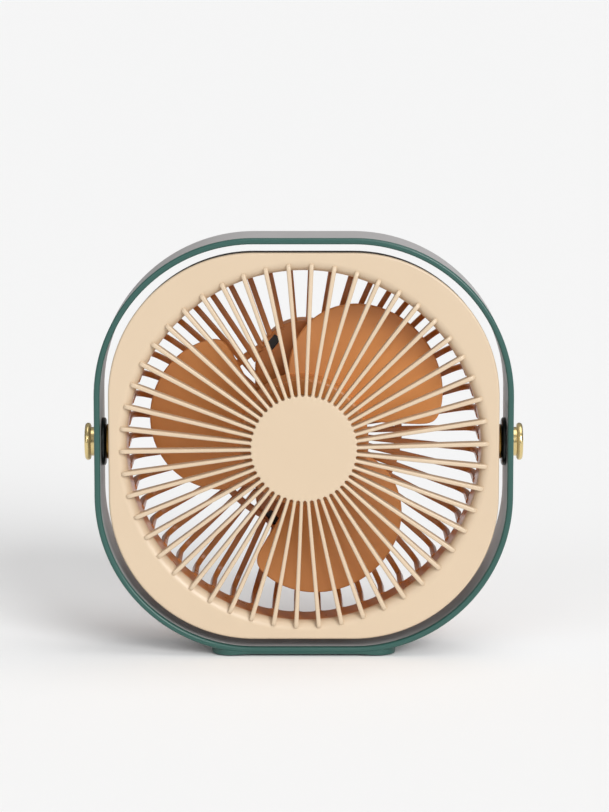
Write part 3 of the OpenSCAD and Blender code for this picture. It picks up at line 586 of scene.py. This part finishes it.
flange_back = flange_front - flange_t
duct = rounded([(duct_r, duct_back, 0.3 * mm), (duct_r, flange_back, 0.2 * mm),
                (seat_r + seat_t, flange_back, 0.1 * mm), (seat_r + seat_t, flange_front, 0.1 * mm),
                (open_r, flange_front, 0.2 * mm), (open_r, duct_back, 0.3 * mm)], 5)
duct_turn = np.linspace(0, 2 * pi, 18 * rib_n, endpoint=False)[:, None]
beside = np.abs((duct_turn + pi / rib_n) % (2 * pi / rib_n) - pi / rib_n) * duct_r - cage_w / 2
inside = np.clip(beside, 0, window_round)
web = window_round - np.sqrt(window_round ** 2 - (window_round - inside) ** 2)
at_back = np.clip((duct_back + mm - duct[:, 1]) / mm, 0, 1)
duct_x, duct_y = duct[:, 0] * np.cos(duct_turn), duct[:, 0] * np.sin(duct_turn)
guard = [skin(spin(duct_x, duct_y, duct[:, 1] - at_back * web, rib_phase))]


def pod_edge(angle):
    """How far out the pod's outline lies in a direction: on a straight side, or on the round end."""
    c, s = abs(cos(angle)), abs(sin(angle))
    if pod_r * s <= pod_flat * c:
        return pod_r / c
    return pod_flat * s + sqrt(pod_r ** 2 - (pod_flat * c) ** 2)


edge_r = 0.45 * mm
section = rounded([(-cage_w / 2, 0, edge_r), (cage_w / 2, 0, edge_r),
                   (cage_w / 2, cage_t, edge_r), (-cage_w / 2, cage_t, edge_r)], 4)
bend = np.linspace(0, pi / 2, 9)
for i in range(rib_n):
    angle = rib_phase + i * 2 * pi / rib_n
    face_r = np.concatenate([[duct_r - cage_t] * 2, duct_r - bend_r + (bend_r - cage_t) * np.cos(bend),
                             [(duct_r + pod_edge(angle)) / 2 - 4 * mm, pod_edge(angle) - 0.5 * mm]])
    face_z = np.concatenate([[duct_back + 0.8 * mm, duct_back - 4 * mm],
                             cage_in + (bend_r - cage_t) * (1 - np.sin(bend)), [cage_in] * 2])
    lean = np.concatenate([[0, 0], bend, [pi / 2] * 2])
    r = face_r[:, None] + np.cos(lean)[:, None] * section[:, 1]
    z = face_z[:, None] - np.sin(lean)[:, None] * section[:, 1]
    guard.append(skin(spin(r, np.broadcast_to(section[:, 0], r.shape), z, angle), (False, True), caps=True))

tie_front, tie_back = cage_in - 0.2 * mm, cage_in - cage_t + 0.2 * mm
tie_in, tie_out = ring_r - ring_w / 2, ring_r + ring_w / 2
tie = rounded([(tie_in, tie_front, 0.4 * mm), (tie_out, tie_front, 0.4 * mm),
               (tie_out, tie_back, 0.4 * mm), (tie_in, tie_back, 0.4 * mm)], 4)
into_pod = 0.02
meet = np.arcsin((ring_r ** 2 - pod_r ** 2 + pod_flat ** 2) / (2 * pod_flat * ring_r))
for start in (0, pi):
    arc = np.linspace(-meet - into_pod, meet + into_pod, 60)[:, None] + start
    tie_x, tie_y = tie[:, 0] * np.cos(arc), tie[:, 0] * np.sin(arc)
    guard.append(skin(place(tie_x, tie_y, tie[:, 1]), (False, True), caps=True))
ribs_and_duct = solid("rear_guard_ribs", *guard)
settle(ribs_and_duct, "head", tan_abs, "cage_tan", "rear_cage")

cup_floor = pod_floor - 1.6 * mm
cup = rounded([(pod_r - 4 * mm, pod_floor, 0), (pod_r, pod_floor, 1.0 * mm), (pod_r, pod_seam, 0.3 * mm),
               (pod_r - pod_t, pod_seam, 0.1 * mm), (pod_r - pod_t, cup_floor, 0.5 * mm),
               (pod_r - 4 * mm, cup_floor, 0)])
cup = np.concatenate([[(0, pod_floor)], cup, [(0, cup_floor)]])
pod = solid("rear_guard_pod", skin(place(*carry(cup, 0, pod_flat, 32)), (True, False)))
window_w, window_l, window_corner = 3.2 * mm, 6 * mm, 0.4 * mm
window_at, window_angle = 14.9 * mm, radians(40)
slots = []
for end in (-1, 1):
    for angle in (window_angle, pi - window_angle):
        x, y, z = block([(window_corner, pod_floor - 3 * mm), (window_corner, pod_floor + mm)],
                        window_w / 2 - window_corner, window_l / 2 - window_corner)
        c, s = cos(end * angle), sin(end * angle)
        across, up = (x + window_at) * c - y * s, (x + window_at) * s + y * c
        slots.append(solid("slot", skin(place(across, end * pod_flat + up, z), (False, True), caps=True)))
lead_hole = rod_z(2.3 * mm, pod_floor - 3 * mm, pod_floor + mm, 0, -20 * mm)
cut(pod, *slots, lead_hole)
settle(pod, "head", tan_abs, "cage_tan", "rear_cage")
board_post_x, board_post_y = 11.5 * mm, -14 * mm
board_post = [(1 * mm, pod_floor - 2 * mm), (2.2 * mm, pod_floor - 1.5 * mm), (2.2 * mm, pod_floor - 3 * mm),
              (1 * mm, pod_floor - 3 * mm)]
board_posts = solid("rear_guard_board_posts",
                    *[skin(turned(board_post, x, board_post_y)) for x in (-board_post_x, board_post_x)])
settle(board_posts, "head", tan_abs, "cage_tan", "rear_cage")

# ---- Pod cover ----
# The pod's back half, moulded in the same tan ABS and clipped to the front half round a fine seam. It has a
# rounded back edge, a hole for the button, a small one for the light guide and a slot for the charge socket.
seam_gap = 0.15 * mm
cover_round = 1.3 * mm
button_at = (0.0, -24 * mm)
button_r = 5.5 * mm
lens_at = (0.0, -13.5 * mm)
lens_r = 1.2 * mm
board_back = pod_floor - 4 * mm
socket_w, socket_h, socket_gap = 8.9 * mm, 3.2 * mm, 0.15 * mm
shell_half = socket_h / 2
socket_z = board_back - shell_half
pod_foot = -pod_flat - pod_r

lid_rim = pod_seam - seam_gap
lid_floor = pod_back + pod_t
lid = rounded([(pod_r - 4 * mm, pod_back, 0), (pod_r, pod_back, cover_round), (pod_r, lid_rim, 0.3 * mm),
               (pod_r - pod_t, lid_rim, 0.1 * mm), (pod_r - pod_t, lid_floor, 0.5 * mm),
               (pod_r - 4 * mm, lid_floor, 0)], 9)
lid = np.concatenate([[(0, pod_back)], lid, [(0, lid_floor)]])
cover = solid("pod_cover_shell", skin(place(*carry(lid, 0, pod_flat, 32)), (True, False)))


def socket_slot():
    """A slot with round ends through the pod's foot, a little larger than the socket's shell."""
    half = shell_half + socket_gap
    a, b, along = block([(half, pod_foot - mm), (half, pod_foot + 5 * mm)], socket_w / 2 - shell_half, 0)
    return solid("slot", skin(place(a, along, socket_z + b), (False, True), caps=True))


button_hole_r = button_r + 0.3 * mm
sink_outline = [(0, pod_back - mm), (button_hole_r + mm, pod_back - mm),
                (button_hole_r + 0.3 * mm, pod_back - 0.001 * mm), (button_hole_r, pod_back + 0.35 * mm),
                (button_hole_r, pod_back + 3 * mm), (0, pod_back + 3 * mm)]
countersink = solid("sink", skin(turned(sink_outline, *button_at, 24), (True, False)))
cut(cover, countersink, rod_z(lens_r, pod_back - mm, pod_back + 3 * mm, *lens_at), socket_slot())
cut(pod, socket_slot())
settle(cover, "head", tan_abs, "cage_tan", "rear_cover")

# ---- Power button and light guide ----
# A dished cream ABS cap with a stem, held by its flange behind the cover's back and pushed forward onto the
# switch. The light guide beside it is clear polycarbonate, with a frosted domed end flush with the cover.
proud = 0.6 * mm
button_front = lid_floor + 1.05 * mm
flange_r = button_r + 0.9 * mm
flange_rear = button_front - 0.9 * mm
stem_r = 1.7 * mm
stem_end = board_back - 3.5 * mm
cap_face = np.linspace(0, button_r - 1.1 * mm, 10)
cap_dish = pod_back - proud + 0.35 * mm * (1 - (cap_face / cap_face[-1]) ** 2)
cap = np.concatenate([np.stack([cap_face, cap_dish], 1),
                      rounded([(button_r - 0.9 * mm, pod_back - proud, 0),
                               (button_r, pod_back - proud, 0.4 * mm), (button_r, flange_rear, 0.1 * mm),
                               (flange_r, flange_rear, 0.15 * mm), (flange_r, button_front, 0.15 * mm),
                               (stem_r, button_front, 0.2 * mm), (stem_r, stem_end, 0.2 * mm),
                               (0, stem_end, 0)])])
button = solid("power_button_cap", skin(turned(cap, *button_at, 24), (True, False)))
settle(button, "button", cream_abs, "button_cream", "power_button")


def clear_plastic(name, colour, roughness):
    """Clear polycarbonate, frosted by fine scatter in its surface."""
    material = bpy.data.materials.new(name)
    material.use_nodes = True
    tree = material.node_tree
    shader = tree.nodes["Principled BSDF"]
    where = node(tree, "TexCoord", {}).outputs["Object"]
    frost = node(tree, "TexNoise", {"Vector": where, "Scale": 1 / (0.1 * mm), "Detail": 3.0})
    bump = node(tree, "Bump", {"Height": frost.outputs["Fac"], "Distance": 0.004 * mm, "Strength": 0.5})
    tree.links.new(bump.outputs["Normal"], shader.inputs["Normal"])
    shader.inputs["Base Color"].default_value = linear(colour)
    shader.inputs["Roughness"].default_value = roughness
    shader.inputs["IOR"].default_value = 1.585
    shader.inputs["Transmission Weight"].default_value = 0.7
    return material


dome = np.linspace(0, pi / 2, 8)
guide_r = lens_r * 0.97
collar = 0.6 * mm
guide_end = board_back - 0.8 * mm
guide = np.concatenate([np.stack([guide_r * np.sin(dome), pod_back + 0.3 * mm * (1 - np.cos(dome))], 1),
                        [(guide_r, lid_floor), (lens_r + collar, lid_floor),
                         (lens_r + collar, lid_floor + collar), (guide_r, lid_floor + collar),
                         (guide_r, guide_end), (0, guide_end)]])
lens = solid("light_guide", skin(turned(guide, *lens_at), (True, False)))
settle(lens, "head", clear_plastic("clear polycarbonate", "#E8EDEE", 0.2), "lens_clear", "light_lens")

# ---- Charge socket ----
# A USB-C receptacle on the board's back face: a seamless nickel-plated steel shell with round ends round a
# black tongue, its mouth just inside the pod's foot.
nickel = turned_metal("nickel-plated steel", "#C9C6BE", 0.22, axis="Y", depth=0.0005 * mm)
black_nylon = moulded("glass-filled nylon, black", "#17181A", 0.45)
shell_t = 0.3 * mm
shell_l = 7.3 * mm
mouth = pod_foot + 0.4 * mm
shell_end = mouth + shell_l
shell_in = shell_half - shell_t
break_edge = 0.08 * mm
shell = [(shell_half - break_edge, mouth), (shell_half, mouth + break_edge), (shell_half, shell_end),
         (shell_in, shell_end), (shell_in, mouth + break_edge), (shell_in + break_edge, mouth)]
a, b, along = block(shell, socket_w / 2 - shell_half, 0)
socket_shell = solid("charge_socket_shell", skin(place(a, along, socket_z + b)))
settle(socket_shell, "head", nickel, "socket_steel", "usb_socket")
edge = 0.2 * mm
tongue_w, tongue_t = 6.4 * mm, 0.7 * mm
a, b, along = block([(edge * 0.5, mouth + mm), (edge, mouth + 1.1 * mm), (edge, shell_end)],
                    tongue_w / 2 - edge, tongue_t / 2 - edge)
tongue = solid("charge_socket_tongue", skin(place(a, along, socket_z + b), (False, True), caps=True))
settle(tongue, "head", black_nylon, None, "usb_socket")

# ---- Spacer discs and knobs ----
# Turned brass. A plain disc sits between the head's boss and the rubber washer on each side, and the knob's
# collar, shank and thread pass through both; its head is a thin disc with a full round edge.
brass = turned_metal("lacquered brass", "#E3CD93", 0.2)
disc_brass = turned_metal("brass, dulled", "#B98C4A", 0.32)
knob_low, knob_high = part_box("knob_right")
knob_r = (knob_high.z - knob_low.z) / 2
knob_end = knob_high.x
knob_back = knob_end - 2.1 * mm
knob_round = 0.98 * mm
collar_r = 5.2 * mm
spacer_r = 6.25 * mm
spacer_low, spacer_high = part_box("spacer_disc_right")
shoulder = ring_half + 0.1 * mm
thread_start = plate_half + 0.05 * mm
thread_end = seat_r + 0.7 * mm
spacer = rounded([(shank_r, spacer_low.x, 0.1 * mm), (spacer_r, spacer_low.x, 0.3 * mm),
                  (spacer_r, spacer_high.x, 0.3 * mm), (shank_r, spacer_high.x, 0.1 * mm)])
knob = np.concatenate([[(0, knob_end)],
                       rounded([(knob_r - 2.5 * mm, knob_end, 0), (knob_r, knob_end, knob_round),
                                (knob_r, knob_back, knob_round), (collar_r, knob_back, 0.15 * mm),
                                (collar_r, shoulder, 0.25 * mm), (3 * mm, shoulder, 0.1 * mm),
                                (3 * mm, thread_start, 0.2 * mm), (2 * mm, thread_start, 0.1 * mm),
                                (2 * mm, thread_end, 0.3 * mm), (0, thread_end, 0)], 9)])
for word, side in (("left", -1), ("right", 1)):
    disc = solid(f"spacer_{word}", skin(along_x(spacer * [1, side])))
    settle(disc, "head", disc_brass, "knob_gold", f"spacer_disc_{word}")
    handle = solid(f"tilt_knob_{word}", skin(along_x(knob * [1, side]), (True, False)))
    settle(handle, f"{word}_knob", brass, "knob_gold", f"knob_{word}")

# ---- Impeller ----
# Hub and three broad petals in one light tan ABS moulding, pressed onto the motor's can. Each petal is an
# oval with one straight edge, pitched 14 degrees, slightly cambered and rounded over at its rim.
blade_abs = moulded("moulded ABS, light tan", "#E59C58", 0.36, grain=0.3 * mm, depth=0.008 * mm)
hub_r = 23.5 * mm
hub_front = 2.6 * mm
hub_rear = hub_front - 17 * mm
hub_t = 1.8 * mm
can_r = 17 * mm
can_front = hub_front - 9.6 * mm
bore_r = 1.5 * mm
petal_out = 30.4 * mm
petal_long = 26.7 * mm
petal_wide = 29.3 * mm
trail_off = 7.6 * mm
line_turn = radians(45)
petal_phase = radians(42.9)
corner_power = 18.0
pitch = radians(14)
petal_n = 3
blade_t = 1.5 * mm
camber = 1.2 * mm
inside = hub_front - hub_t
skirt_in = hub_r - hub_t
can_fit = can_r + 0.02 * mm
sleeve_out, sleeve_rear = can_r + 1.5 * mm, hub_rear + 2 * mm
stop_in, stop = can_r - 3 * mm, can_front + 0.05 * mm
spigot_r, spigot_rear = 4.5 * mm, can_front + 3.2 * mm
hub = np.concatenate([[(0, hub_front)],
                      rounded([(hub_r - 4 * mm, hub_front, 0), (hub_r, hub_front, 1.5 * mm),
                               (hub_r, hub_rear, 0.4 * mm), (skirt_in, hub_rear, 0.3 * mm),
                               (skirt_in, inside, 0.6 * mm), (sleeve_out, inside, 0.3 * mm),
                               (sleeve_out, sleeve_rear, 0.3 * mm), (can_fit, sleeve_rear, 0.3 * mm),
                               (can_fit, stop, 0), (stop_in, stop, 0.2 * mm), (stop_in, inside, 0.3 * mm),
                               (spigot_r, inside, 0.3 * mm), (spigot_r, spigot_rear, 0.2 * mm),
                               (bore_r, spigot_rear, 0.1 * mm), (bore_r, inside - 0.6 * mm, 0),
                               (0, inside - 0.6 * mm, 0)])])

# A petal's outline is found along rays from a point inside it. The nearer of the oval and the straight edge
# holds on each ray, blended by a high power where they meet, and the hub's round cuts the petal off.
ray_from = np.array([38 * mm, 13 * mm])
sweep = np.linspace(0, 2 * pi, 240, endpoint=False)
way = np.stack([np.cos(sweep), np.sin(sweep)], 1)
stretch = np.array([1 / petal_long, 1 / petal_wide])
oval_way, oval_from = way * stretch, (ray_from - [petal_out, 0]) * stretch
size = (oval_way ** 2).sum(1)
half_b = oval_way @ oval_from
to_oval = (np.sqrt(half_b ** 2 - size * (oval_from @ oval_from - 1)) - half_b) / size
line = np.array([sin(line_turn), cos(line_turn)])
falling = np.minimum(way @ line, -1e-3)
to_line = np.where(way @ line < -1e-3, (trail_off - ray_from @ line) / falling, 1.0)
to_edge = (to_oval ** -corner_power + to_line ** -corner_power) ** (-1 / corner_power)
half_b = way @ ray_from
under_root = half_b ** 2 - (ray_from @ ray_from - (hub_r - hub_t / 2) ** 2)
to_hub = -half_b - np.sqrt(np.clip(under_root, 0, None))
to_hub = np.where((under_root > 0) & (half_b < 0), to_hub, 1.0)
to_edge = np.minimum(to_edge, to_hub)[:, None]
rim_turn = np.linspace(0, pi, 11)
rim_w = blade_t / 2
inner = np.linspace(0, 1, 9)[:-1] * (to_edge - rim_w)
out = np.concatenate([inner, to_edge - rim_w + rim_w * np.sin(rim_turn), inner[:, ::-1]], axis=1)
level = np.concatenate([np.full(8, rim_w), rim_w * np.cos(rim_turn), np.full(8, -rim_w)])
px, py = ray_from[0] + out * way[:, :1], ray_from[1] + out * way[:, 1:]
pz = (hub_front + hub_rear) / 2 + level - py * tan(pitch) - camber * ((py / petal_wide) ** 2 - 0.3)
skins = [skin(turned(hub, steps=40), (True, False))]
for i in range(petal_n):
    skins.append(skin(spin(px, py, pz, petal_phase + i * 2 * pi / petal_n), (True, False)))
rotor = solid("impeller_moulding", *skins)
settle(rotor, "rotor", blade_abs, "blade_tan", "impeller")

# ---- Inside the motor and the pod ----
# The solid model's own parts: an outrunner motor on a machined base, and behind it the cell, its foam pad,
# the board with its switch, and their leads. Each takes the finish of the material it is made of.
def striped(name, colour, groove, roughness, metallic, spacing, depth):
    """A stack or a winding: even fine lines across the motor's axis, each darker in its groove: the dark
    joint between steel sheets, and painted shade between wire turns.
    """
    material = bpy.data.materials.new(name)
    material.use_nodes = True
    tree = material.node_tree
    shader = tree.nodes["Principled BSDF"]
    where = node(tree, "TexCoord", {}).outputs["Object"]
    lines = node(tree, "TexWave", {"Vector": where, "Scale": 1 / spacing / 20, "Distortion": 0.15,
                                   "Detail": 2.0}, wave_type="BANDS", bands_direction="Y")
    # The groove colour is the dark joint between steel sheets, and painted shade in the creases between wire
    # turns.
    tone = node(tree, "Mix", {0: lines.outputs["Fac"], 6: linear(groove), 7: linear(colour)},
                data_type="RGBA")
    bump = node(tree, "Bump", {"Height": lines.outputs["Fac"], "Distance": depth, "Strength": 0.7})
    tree.links.new(tone.outputs[2], shader.inputs["Base Color"])
    tree.links.new(bump.outputs["Normal"], shader.inputs["Normal"])
    shader.inputs["Roughness"].default_value = roughness
    shader.inputs["Metallic"].default_value = metallic
    return material


aluminium = turned_metal("machined aluminium", "#C8CACC", 0.3, axis="Y")
zinc_can = turned_metal("zinc-plated steel can", "#A8ABAF", 0.3, axis="Y")
laminate = moulded("glass-epoxy laminate, green", "#1F5B3A", 0.32, grain=0.4 * mm, depth=0.006 * mm, coat=0.4)
pvc_red = moulded("PVC insulation, red", "#A12A22", 0.38, depth=0.004 * mm)
finishes = {
    "pivot_inserts": turned_metal("brass", "#C9A257", 0.3),
    "motor_base": aluminium,
    "motor_screws": screw_steel,
    "motor_bearings": turned_metal("sintered bronze", "#9C6B3B", 0.45, axis="Y"),
    "motor_board": laminate,
    "stator_core": striped("laminated silicon steel", "#8B8E92", "#3A3C40", 0.4, 0.9, 0.5 * mm, 0.03 * mm),
    "stator_coils": striped("enamelled copper wire", "#B5622C", "#4E2410", 0.3, 0.8, 0.3 * mm, 0.08 * mm),
    "motor_leads": pvc_red,
    "insulation_sheet": moulded("polyester film, black", "#141416", 0.25, depth=0.003 * mm),
    "battery_pad": moulded("polyurethane foam, grey", "#55585B", 0.9, grain=0.5 * mm, depth=0.1 * mm),
    "battery_cell": moulded("shrink film, blue", "#2E5C93", 0.3, grain=2 * mm, depth=0.02 * mm, coat=0.3),
    "battery_leads": pvc_red,
    "circuit_board": laminate,
    "board_screws": screw_steel,
    "switch_body": black_nylon,
    "switch_plunger": cream_abs,
    "rotor_can": zinc_can,
    "magnet_ring": moulded("ferrite, dark grey", "#2B2C2E", 0.55, grain=0.25 * mm, depth=0.02 * mm),
    "motor_shaft": turned_metal("ground steel", "#C4C6C9", 0.15, axis="Y"),
    "shaft_clip": screw_steel,
}
for name, material in finishes.items():
    finish_node(name, material)

# ---- Studio ----
# A white floor that runs far back, a pale sky with darker sides for the metal and the glossy plastic to
# reflect, and three soft suns: one overhead, and one from the front on each side.
scene = bpy.context.scene
scene.view_settings.view_transform = "Standard"
floor_mesh = bpy.data.meshes.new("studio_floor")
reach = 40.0
floor_corners = [(-reach, -reach, 0), (reach, -reach, 0), (reach, reach, 0), (-reach, reach, 0)]
floor_mesh.from_pydata(floor_corners, [], [(0, 1, 2, 3)])
floor = bpy.data.objects.new("studio_floor", floor_mesh)
scene.collection.objects.link(floor)
paper = bpy.data.materials.new("white paper")
paper.use_nodes = True
tree = paper.node_tree
tree.nodes.remove(tree.nodes["Principled BSDF"])
matt = node(tree, "BsdfDiffuse", {"Color": linear("#F5F5F5")})
tree.links.new(matt.outputs["BSDF"], tree.nodes["Material Output"].inputs["Surface"])
floor_mesh.materials.append(paper)

world = bpy.data.worlds.new("studio")
scene.world = world
world.use_nodes = True
tree = world.node_tree
sky = tree.nodes["Background"]
height = node(tree, "SeparateXYZ", {"Vector": node(tree, "TexCoord", {}).outputs["Generated"]}).outputs["Z"]
shade = node(tree, "MapRange", {"Value": height, "From Min": 0.25, "From Max": 0.5,
                                "To Min": 0.12, "To Max": 0.36})
tree.links.new(shade.outputs["Result"], sky.inputs["Color"])
sky.inputs["Strength"].default_value = 1.0


def sun(name, strength, spread, away):
    """A soft sun, lighting along the direction given."""
    light = bpy.data.lights.new(name, "SUN")
    light.energy, light.angle = strength, radians(spread)
    lamp = bpy.data.objects.new(name, light)
    length = sqrt(sum(part ** 2 for part in away))
    pitch_down = np.arccos(-away[2] / length)
    lamp.rotation_euler = (pitch_down, 0, np.arctan2(away[1], away[0]) - pi / 2)
    scene.collection.objects.link(lamp)
    return lamp


lamps = [sun("overhead", 1.03, 50, (-0.3, 0.05, -1.0)),
         sun("left softbox", 0.5, 40, (0.5, 0.8, -0.36)),
         sun("right softbox", 2.3, 30, (-0.45, 0.8, -0.43))]

look_down = radians(8.4)
distance = 1.14
rise = 14.95 * mm
shift_right = 0.25 * mm
eye_up = (0, sin(look_down), cos(look_down))
eye_on = (0, cos(look_down), -sin(look_down))
centre = (shift_right, tilt[1] - front, tilt[2])
camera_data = bpy.data.cameras.new("camera")
camera_data.lens = 141.5
camera = bpy.data.objects.new("camera", camera_data)
camera.location = [c + rise * u - distance * o for c, u, o in zip(centre, eye_up, eye_on)]
camera.rotation_euler = (pi / 2 - look_down, 0, 0)
scene.collection.objects.link(camera)
scene.camera = camera
